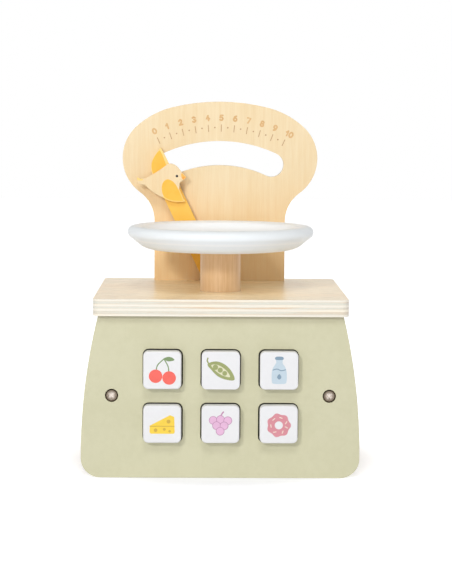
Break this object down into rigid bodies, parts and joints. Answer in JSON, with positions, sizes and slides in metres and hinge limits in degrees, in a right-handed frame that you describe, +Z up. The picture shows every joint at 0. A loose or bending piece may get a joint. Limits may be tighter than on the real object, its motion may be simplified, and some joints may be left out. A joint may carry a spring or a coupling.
{
  "type": "toy balance scale",
  "caption": "Wooden toy kitchen scale: pressing the round tray lowers its post against a spring and swings a bird pointer across an arched dial with numbers; picture buttons push in.",
  "frame": {"origin": "centre of the footprint on the floor, at the underside of the bottom board", "axes": "+X to the right and +Z up seen from the front, +Y from the front panel to the back panel; the tray and pointer are in their rest places"},
  "size_m": [0.2, 0.1687, 0.2694],
  "materials": {
    "sage_paint": "satin sage-green paint on plywood",
    "plywood": "clear satin lacquer on pale plywood",
    "beech": "sanded solid beech",
    "white_paint": "satin white paint on turned wood",
    "yellow_paint": "satin yellow paint on plywood",
    "button_white": "satin white paint with a printed picture",
    "steel": "zinc-plated",
    "spring_steel": "bright drawn wire"
  },
  "bodies": {
    "base": {"front_panel": "sage_paint", "back_panel": "sage_paint", "left_side_board": "plywood", "right_side_board": "plywood", "bottom_board": "plywood", "top_plate": "plywood", "dial_board": "plywood", "dial_dowels": "beech", "dial_screws": "steel", "plate_dowels": "beech", "panel_dowels": "beech", "front_screws": "steel", "back_screws": "steel", "bottom_screws": "steel", "return_spring": "spring_steel", "spring_guide_rod": "beech", "steady_rod": "beech", "pivot_pin": "steel", "pivot_washers": "steel", "spring_top_left": "spring_steel", "spring_top_middle": "spring_steel", "spring_top_right": "spring_steel", "spring_bottom_left": "spring_steel", "spring_bottom_middle": "spring_steel", "spring_bottom_right": "spring_steel", "spring_board": "plywood", "spring_board_spacers": "beech", "spring_board_screws": "steel"},
    "tray_and_post": {"tray": "white_paint", "tray_dowel": "beech", "post": "beech", "carriage_plate": "plywood", "drive_block": "beech", "drive_block_screws": "steel", "drive_pin": "steel"},
    "pointer": {"pointer_arm": "yellow_paint", "bird": "plywood"},
    "button_top_left_body": {"button_top_left": "button_white"},
    "button_top_middle_body": {"button_top_middle": "button_white"},
    "button_top_right_body": {"button_top_right": "button_white"},
    "button_bottom_left_body": {"button_bottom_left": "button_white"},
    "button_bottom_middle_body": {"button_bottom_middle": "button_white"},
    "button_bottom_right_body": {"button_bottom_right": "button_white"}
  },
  "joints": [
    {"name": "tray_press", "type": "slide", "parent": "base", "child": "tray_and_post", "axis": [0, 0, -1], "range_m": [0, 0.02], "stiffness_N_per_m": 200, "springref_m": -0.03, "deforming": ["return_spring"]},
    {"name": "pointer_swing", "type": "hinge", "parent": "base", "child": "pointer", "pos_m": [0, 0.0595, 0.121], "axis": [0, 1, 0], "range_deg": [0, 45]},
    {"name": "press_top_left", "type": "slide", "parent": "base", "child": "button_top_left_body", "axis": [0, 1, 0], "range_m": [0, 0.004], "stiffness_N_per_m": 250, "springref_m": -0.004, "deforming": ["spring_top_left"]},
    {"name": "press_top_middle", "type": "slide", "parent": "base", "child": "button_top_middle_body", "axis": [0, 1, 0], "range_m": [0, 0.004], "stiffness_N_per_m": 250, "springref_m": -0.004, "deforming": ["spring_top_middle"]},
    {"name": "press_top_right", "type": "slide", "parent": "base", "child": "button_top_right_body", "axis": [0, 1, 0], "range_m": [0, 0.004], "stiffness_N_per_m": 250, "springref_m": -0.004, "deforming": ["spring_top_right"]},
    {"name": "press_bottom_left", "type": "slide", "parent": "base", "child": "button_bottom_left_body", "axis": [0, 1, 0], "range_m": [0, 0.004], "stiffness_N_per_m": 250, "springref_m": -0.004, "deforming": ["spring_bottom_left"]},
    {"name": "press_bottom_middle", "type": "slide", "parent": "base", "child": "button_bottom_middle_body", "axis": [0, 1, 0], "range_m": [0, 0.004], "stiffness_N_per_m": 250, "springref_m": -0.004, "deforming": ["spring_bottom_middle"]},
    {"name": "press_bottom_right", "type": "slide", "parent": "base", "child": "button_bottom_right_body", "axis": [0, 1, 0], "range_m": [0, 0.004], "stiffness_N_per_m": 250, "springref_m": -0.004, "deforming": ["spring_bottom_right"]}
  ],
  "couplings": [
    {"joint": "pointer_swing", "follows": "tray_press", "rad_per_m": 39.27}
  ]
}
